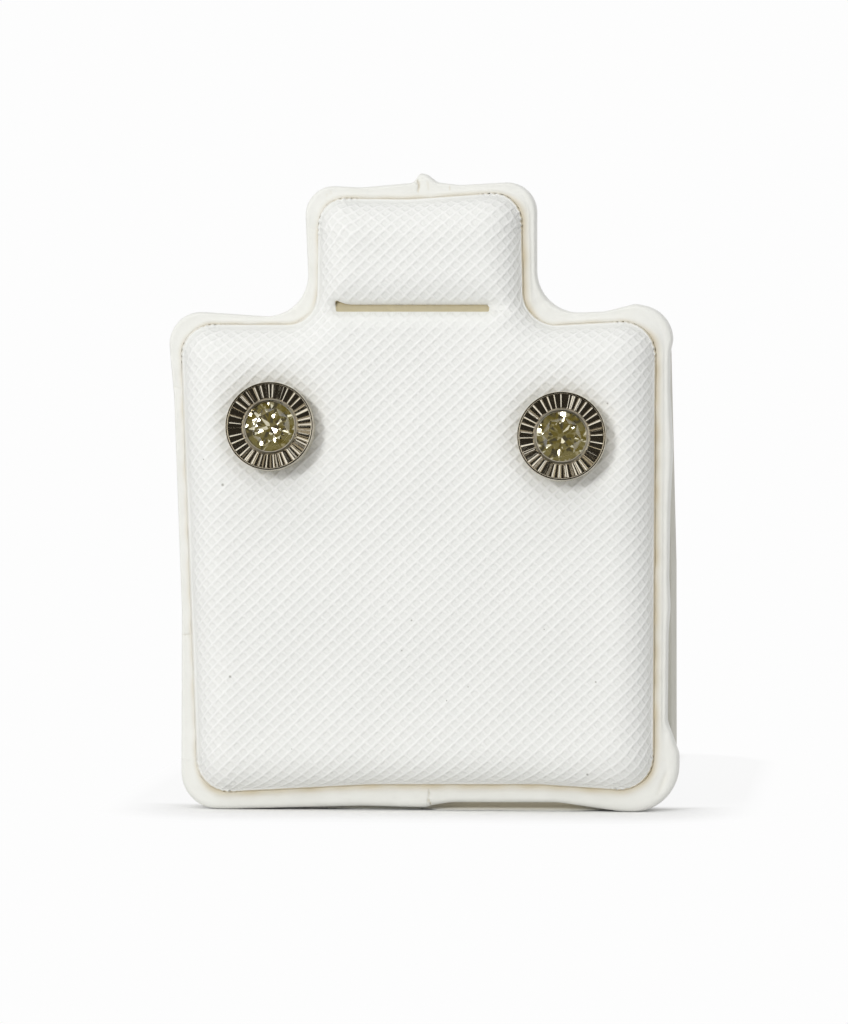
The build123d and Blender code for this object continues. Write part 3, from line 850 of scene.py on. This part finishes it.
# A profile of radius and height turned about the post. Between the lip and the bezel the surface
# sinks by 1 - (2t - 1)^2 over each flute's width, which hollows the flutes; each one's width, depth
# and deepest place vary a little, as hand-cut ones do.
def fluteHead(name, seed, materials):
    d = setting
    rng = np.random.default_rng(seed)
    tip = -d["headDepth"] - d["postLength"]
    lipR, lipRound = d["lipRadius"], d["lipRound"]
    post, back, groove = d["postRadius"], -d["headDepth"], lipR - d["lipWidth"]
    behind = [
        [(0, tip), (0.2, tip), (0.33, tip + 0.03), (post, tip + 0.15), (post, tip + 1.5)],
        [(0.34, tip + 1.75), (0.33, tip + 1.9), (0.34, tip + 2.05), (post, tip + 2.3)],    # the notch
        [(post, tip + 5.0), (post, back - 0.12)],
        arcRows((post + 0.1, back - 0.1), 0.1, 180, 90, 4),
        [(0.8, back)],
        arcRows((d["backRadius"] - 0.05, back + 0.08), 0.08, -90, -45, 4),
        [(1.45, -1.69), (1.75, -1.38), (2.05, -1.07)],
        arcRows((lipR - 0.12, -d["wallDepth"]), 0.12, -45, 0, 5),
        [(lipR, -0.6), (lipR + 0.006, -0.35), (lipR, -0.12)],
        arcRows((lipR - lipRound, -lipRound), lipRound, 0, 90, 5),
        arcRows((groove + lipRound, -lipRound), lipRound, 90, 180, 5),
        [(groove - 0.005, -d["grooveDepth"]), (groove - 0.03, -d["grooveDepth"] - 0.01)],
    ]
    share = np.linspace(0, 1, 9)[:, None]
    fluted = np.array(d["outer"]) * (1 - share) + np.array(d["inner"]) * share
    front = [
        [(d["bezelRadius"] + 0.01, d["inner"][1] - 0.01)],
        arcRows((d["bezelRadius"] - 0.08, d["bezelTop"] - 0.08), 0.08, 0, 90, 6),
        arcRows((d["bezelLip"] + 0.08, d["bezelTop"] - 0.08), 0.08, 90, 180, 6),
        [(d["bezelLip"], -0.44), (d["bore"], d["girdle"] + 0.06), (d["bore"], d["girdle"] - 0.06)],
        [(0.9, -1.04), (0.45, -1.43), (0.0, -1.82)],
    ]
    rows = np.concatenate([*behind, fluted, *front])
    firstFlute = sum(len(part) for part in behind)
    isFluted = np.zeros(len(rows))
    isFluted[firstFlute:firstFlute + len(fluted)] = 1

    flutes = d["flutes"]
    pitch = 2 * np.pi / flutes
    shift = rng.uniform(-0.14, 0.14, flutes) * pitch
    deep = rng.uniform(0.85, 1.3, flutes)
    land = d["land"] * rng.uniform(0.5, 1.5, flutes)
    lows = rng.uniform(0.28, 0.72, flutes)
    start = np.arange(flutes) * pitch + shift
    end = np.append(start[1:], start[0] + 2 * np.pi)
    width = (end - start)[:, None]
    # per flute: the land, then a hollow in eight steps, deepest at lows
    share = np.linspace(0, 1, 9)
    marks = np.concatenate([-land[:, None], land[:, None] + (1 - 2 * land[:, None]) * share[:-1]], axis=1)
    angle = (start[:, None] + width * marks).ravel()
    skewed = share[None, :-1] ** (np.log(0.5) / np.log(lows))[:, None]
    sink = np.concatenate([0 * land[:, None], deep[:, None] * (1 - (2 * skewed - 1) ** 2)], axis=1).ravel()
    columns = len(angle)

    radius = rows[:, :1] * np.ones(columns)
    height = rows[:, 1:] * np.ones(columns)
    depth = d["fluteDepth"] * (rows[:, :1] / d["outer"][0]) * isFluted[:, None] * sink
    fall = math.atan2(d["outer"][1] - d["inner"][1], d["outer"][0] - d["inner"][0])
    radius = radius + depth * math.sin(fall)
    height = height - depth * math.cos(fall)
    local = np.stack([radius * np.cos(angle), radius * np.sin(angle), height], axis=-1)

    # poles: the first and the last row shrink to one point each
    middle = local[1:-1].reshape(-1, 3)
    points = np.concatenate([middle, [[0, 0, rows[0, 1]], [0, 0, rows[-1, 1]]]])
    rings = len(rows) - 2
    faces = ringFaces(rings, columns)
    ring = np.arange(columns)
    ahead, lastRing = np.roll(ring, -1), (rings - 1) * columns
    firstPole, lastPole = np.full(columns, len(middle)), np.full(columns, len(middle) + 1)
    faces += np.stack([firstPole, ahead, ring], axis=1).tolist()
    faces += np.stack([lastPole, ring + lastRing, ahead + lastRing], axis=1).tolist()
    along = np.concatenate([[0], np.cumsum(np.hypot(*np.diff(rows, axis=0).T))])
    uv = np.stack(np.broadcast_arrays(angle * 2, along[1:-1, None]), axis=-1).reshape(-1, 2)
    uv = np.concatenate([uv, [[0, along[0]], [0, along[-1]]]])

    # the cup inside the bezel's lip has the second material, the bezel the third
    row = np.arange(rings - 1)
    finish = np.where(row >= rings - 6, 1, np.where(row >= firstFlute + len(fluted) - 1, 2, 0))
    finish = np.concatenate([finish.repeat(columns), np.zeros(columns), np.ones(columns)])
    piece = meshPiece(name, placeOnStud(points, name[:-len("Setting")]), faces, materials, finish)
    storeUv(piece, uv)
    finishMesh(piece)
    piece.data.set_sharp_from_angle(angle=math.radians(24))
    print(name, len(piece.data.polygons), "faces")
    return piece


# Local coordinates x right, y up and z towards the viewer along the post, turned to the card's frame.
def placeOnStud(points, name):
    x, z = studs[name][:2]
    facing = studFacing(name)
    right = np.array([1.0, 0, 0]) - facing * facing[0]
    right /= np.linalg.norm(right)
    up = np.cross(facing, right)
    return np.array([x, lipY, z]) + points[:, :1] * right + points[:, 1:2] * up + points[:, 2:] * facing


clutch = {
    "radius": 2.3, "plate": 0.25, "bore": 0.43, "clearance": 0.06, "rim": 0.08,
    "scrollRadius": 1.02, "scrollWall": 0.24, "scrollWidth": 2.2, "scrollCentre": 1.5,
}


# A round plate turned from a closed profile of radius and height.
def turned(profile, columns):
    angle = np.linspace(0, 2 * np.pi, columns, endpoint=False)
    profile = np.array(profile, float)
    points = np.stack([profile[:, :1] * np.cos(angle), profile[:, :1] * np.sin(angle),
                       profile[:, 1:] * np.ones(columns)], axis=-1).reshape(-1, 3)
    return points, ringFaces(len(profile), columns, True)


# A strip bent round a spiral: the centre line's radius grows evenly with the angle, the strip has
# a rounded rectangular section, and both ends are closed by flat caps.
def scrollStrip(side, backOfPlate):
    d = clutch
    angle = np.radians(np.linspace(70, 400, 60))
    shrink = np.linspace(1.0, 0.78, 60)
    radius = (d["scrollRadius"] - d["scrollWall"] / 2) * shrink
    centre = np.stack([radius * np.cos(angle), radius * np.sin(angle)], axis=1)
    half, thick, soft = d["scrollWidth"] / 2, d["scrollWall"] / 2, 0.05
    section = np.array([
        (-half, -thick + soft), (-half + soft, -thick), (half - soft, -thick), (half, -thick + soft),
        (half, thick - soft), (half - soft, thick), (-half + soft, thick), (-half, thick - soft),
    ])
    outwards = centre / radius[:, None]
    across = centre[:, None, :] + outwards[:, None, :] * section[None, :, 1:2]
    height = backOfPlate - d["scrollRadius"] + 0.12 - across[..., 1]
    points = np.stack([across[..., 0] * side + side * d["scrollCentre"],
                       np.broadcast_to(section[:, 0], height.shape), height], axis=-1).reshape(-1, 3)
    end = np.arange(len(section))
    return points, ringFaces(60, len(section)) + [end.tolist(), (len(points) - 1 - end).tolist()]


# A turned plate with a low collar round its bore and a scroll on each side. Its tilted rim, radius x
# sin(tilt) ahead of its middle, stays clear of the board's back.
def frictionClutch(name, materials):
    d = clutch
    stud = name[:-len("Clutch")]
    facing = studFacing(stud)
    lean = d["radius"] * math.sqrt(1 - facing[1] ** 2)
    front = -(card["boardBack"] - lipY) / abs(facing[1]) - lean - d["clearance"]
    back, rim = front - d["plate"], d["rim"]
    bore, radius = d["bore"], d["radius"]
    points, faces = turned([
        (bore, front - 0.05), (bore + 0.05, front), (radius - rim, front), (radius, front - rim),
        (radius, back + rim), (radius - rim, back), (1.2, back), (0.9, back - 0.06), (0.6, back - 0.16),
        (bore + 0.03, back - 0.16), (bore, back - 0.12),
    ], 96)
    for side in (-1, 1):
        more, moreFaces = scrollStrip(side, back)
        faces += [[i + len(points) for i in face] for face in moreFaces]
        points = np.concatenate([points, more])
    piece = meshPiece(name, placeOnStud(points, stud), faces, materials)
    finishMesh(piece)
    piece.data.set_sharp_from_angle(angle=math.radians(40))
    print(name, len(piece.data.polygons), "faces")
    return piece


# The materials, then the pieces on their nodes.
vinylMaterial, embossedMaterial = smoothVinyl(), embossedVinyl(pad["pitch"], pad["lean"], pad["specks"])
coreMaterial, boardMaterial = cutCore(), laminatedBoard()
headMaterials = [paleGold("paleGold", 0.2), tarnishedGold(), paleGold("satinGold", 0.45)]
brassMaterial, stoneMaterial = platedBrass(), cutZirconia()

padPiece = puffPad([embossedMaterial, coreMaterial])
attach(padPiece, "root")
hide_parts("puff_pad")

rollPiece = edgeRoll([vinylMaterial])
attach(rollPiece, "root")
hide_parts("edge_roll")

for side, seed in (("left", 4), ("right", 9)):
    head = fluteHead(side + "Setting", seed, headMaterials)
    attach(head, "root")
    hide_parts(side + "_setting")
    holder = frictionClutch(side + "Clutch", [brassMaterial])
    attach(holder, "root")
    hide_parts(side + "_clutch")
    nodes[side + "_stone"].material_slots[0].material = stoneMaterial
nodes["back_board"].material_slots[0].material = boardMaterial
print("pieces made")


# Floor, surroundings, cards and lamps, in metres and watts.
studio = {
    "white": 0.983,          # linear level of the white surroundings as seen
    "ambient": 0.49,         # strength of the surroundings as light
    "floorColour": "F2F2F2", "floorSeen": 0.98, "floorReach": 3.0,
    # the part of the floor that keeps its shadow: middle and half size
    "shadeMiddle": (0.0005, 0.01375, 0), "shadeHalf": (0.009, 0.01625, 1),
    # where the shadow clears, from and to, and by how much: outside that part, and to the sides of
    # the card's middle, which counts only behind the card's front
    "shadeMargin": (0.0005, 0.008, 1), "shadeBeside": (0.0098, 0.0114, 0.9),
    "shadeBehind": (-0.0015, 0.0015, 1),
    # power, place and size
    "lamps": {
        "keySoftbox": (1.35, (-0.25, -0.54, 0.21), 0.15),
        "topSoftbox": (0.65, (-0.05, -0.3, 0.5), 0.4),
        "fillSoftbox": (0.1, (0.45, -0.5, 0.12), 0.35),
    },
    "lampAim": (0, 0, 0.015),
    # painted reflections: glowing cards that only the metal or the stones see; colour and two level edges:
    # left, right, depth and height of each
    "cardsForMetal": {
        "darkWall": ("2E2B26", (-0.95, 0.95, -0.8, -0.05), (-0.95, 0.95, -0.8, 1.35)),
        "darkTable": ("2E2B26", (-0.95, 0.95, -0.8, 0.0005), (-0.014, 0.014, -0.01, 0.0005)),
        "leftPanel": ("B4AA98", (-0.72, -0.54, -0.78, 0), (-0.72, -0.54, -0.78, 1.2)),
        "rightPanel": ("B4AA98", (0.56, 0.72, -0.78, 0), (0.56, 0.72, -0.78, 1.2)),
    },
    # painted reflection: the olive cards give the stones their olive colour
    "cardsForStones": {
        "stoneWallLeft": ("5A564A", (-2.6, -0.02, -0.6, -0.3), (-2.6, -0.02, -0.6, 1.6)),
        "stoneTable": ("8C8562", (-0.9, 0.9, -0.6, 0.0006), (-0.03, 0.03, -0.02, 0.0006)),
        "stoneWallRight": ("7A7040", (0.02, 2.6, -0.6, -0.3), (0.02, 2.6, -0.6, 1.6)),
    },
}


# 1 for what the camera, the metal and the stones see, 0 for light that falls on something.
def seenRays(add):
    path = add("LightPath").outputs
    seen = add("Math", {0: path["Is Camera Ray"], 1: path["Is Glossy Ray"]}, operation="MAXIMUM")
    return add("Math", {0: seen, 1: path["Is Transmission Ray"]}, operation="MAXIMUM")


# White surroundings: the camera, metal and stones see plain white, everything else gets soft light.
def lightWorld():
    world = bpy.data.worlds.new("studioWorld")
    bpy.context.scene.world = world
    add = emptyTree(world)
    seen = seenRays(add)
    asLight = add("Background", {"Color": (1, 1, 1, 1), "Strength": studio["ambient"]})
    asSeen = add("Background", {"Color": (1, 1, 1, 1), "Strength": studio["white"]})
    mixed = add("MixShader", {0: seen, 1: asLight, 2: asSeen})
    add("OutputWorld", {"Surface": mixed})


# A matt white sheet that keeps the object's shadow near it and turns to plain white further off, by
# the larger of two shares: outside the shaded part, and beside the card times behind it.
def floorSheet():
    material, add = blankMaterial("whitePaperFloor")
    place = add("TexCoord").outputs["Object"]
    offset = add("VectorMath", {0: place, 1: studio["shadeMiddle"]}, operation="SUBTRACT")
    spread = add("VectorMath", {0: offset}, operation="ABSOLUTE")
    beyond = add("VectorMath", {0: spread, 1: studio["shadeHalf"]}, operation="SUBTRACT")
    beyond = add("VectorMath", {0: beyond, 1: (0, 0, 0)}, operation="MAXIMUM")
    distance = add("VectorMath", {0: beyond}, operation="LENGTH")
    sideways = add("SeparateXYZ", {"Vector": spread}).outputs["X"]
    backwards = add("SeparateXYZ", {"Vector": place}).outputs["Y"]
    clearing = []
    for value, key in (distance, "shadeMargin"), (sideways, "shadeBeside"), (backwards, "shadeBehind"):
        start, end, most = studio[key]
        clearing.append(add("MapRange", {
            "Value": value, "From Min": start, "From Max": end, "To Max": most,
        }, interpolation_type="SMOOTHSTEP"))
    beside = add("Math", {0: clearing[1], 1: clearing[2]}, operation="MULTIPLY")
    clear = add("Math", {0: clearing[0], 1: beside}, operation="MAXIMUM")
    seen = seenRays(add)
    share = add("Math", {0: seen, 1: clear}, operation="MULTIPLY")
    sheetColour = add("Mix", {
        "Factor": seen, "A": colour(studio["floorColour"]), "B": (*[studio["floorSeen"]] * 3, 1),
    }, data_type="RGBA")
    matt = add("BsdfDiffuse", {"Color": sheetColour})
    glow = add("Emission", {"Color": (1, 1, 1, 1), "Strength": studio["white"]})
    mixed = add("MixShader", {0: share, 1: matt, 2: glow})
    add("OutputMaterial", {"Surface": mixed})
    far = studio["floorReach"] * 1000
    corners = [(-far, -far, 0), (far, -far, 0), (far, far, 0), (-far, far, 0)]
    floor = meshPiece("floorSheet", corners, [(0, 1, 2, 3)], [material])


# A glowing card between two level edges that only the metal or only the stones see, a painted reflection
# like the dark side of a studio behind the camera.
def reflectionCard(name, forStones, shade, edge, other):
    material, add = blankMaterial(name + "Glow")
    # painted reflection: the card glows with its colour, though it is no lamp
    surface = add("Emission", {"Color": colour(shade), "Strength": 1.0})
    add("OutputMaterial", {"Surface": surface})
    corners = [(edge[0], *edge[2:]), (edge[1], *edge[2:]), (other[1], *other[2:]), (other[0], *other[2:])]
    piece = meshPiece(name, np.array(corners) * 1000, [(0, 1, 2, 3)], [material])
    piece.visible_camera = False
    piece.visible_diffuse = False
    piece.visible_shadow = False
    piece.visible_glossy = not forStones
    piece.visible_transmission = forStones


# A square lamp turned to the card, which the metal doesn't reflect.
def areaLamp(name, power, place, size):
    data = bpy.data.lights.new(name, "AREA")
    data.energy, data.shape, data.size = power, "SQUARE", size
    lamp = bpy.data.objects.new(name, data)
    bpy.context.collection.objects.link(lamp)
    lamp.location = place
    lamp.rotation_euler = (Vector(studio["lampAim"]) - Vector(place)).to_track_quat("-Z", "Y").to_euler()
    lamp.visible_glossy = False


lightWorld()
floorSheet()
for name, values in studio["cardsForMetal"].items():
    reflectionCard(name, False, *values)
for name, values in studio["cardsForStones"].items():
    reflectionCard(name, True, *values)
for name, values in studio["lamps"].items():
    areaLamp(name, *values)

# The camera turns about its aim by azimuth and elevation, at a distance in metres.
view = {
    "azimuth": 5.0, "elevation": 2.0, "distance": 0.3, "aim": (-0.00002, 0.0, 0.015),
    "frameHeight": 0.05202, "sensorHeight": 24.0,
}
lens = bpy.data.cameras.new("tableCamera")
lens.sensor_fit = "VERTICAL"
lens.sensor_height = view["sensorHeight"]
lens.lens = view["sensorHeight"] * view["distance"] / view["frameHeight"]
lens.clip_start, lens.clip_end = 0.01, 10.0
camera = bpy.data.objects.new("tableCamera", lens)
bpy.context.collection.objects.link(camera)
turn, rise = math.radians(view["azimuth"]), math.radians(view["elevation"])
away = Vector((math.sin(turn) * math.cos(rise), -math.cos(turn) * math.cos(rise), math.sin(rise)))
camera.location = Vector(view["aim"]) + away * view["distance"]
camera.rotation_euler = (-away).to_track_quat("-Z", "Y").to_euler()
bpy.context.scene.camera = camera
bpy.context.scene.view_settings.view_transform = "Standard"
print("studio set")
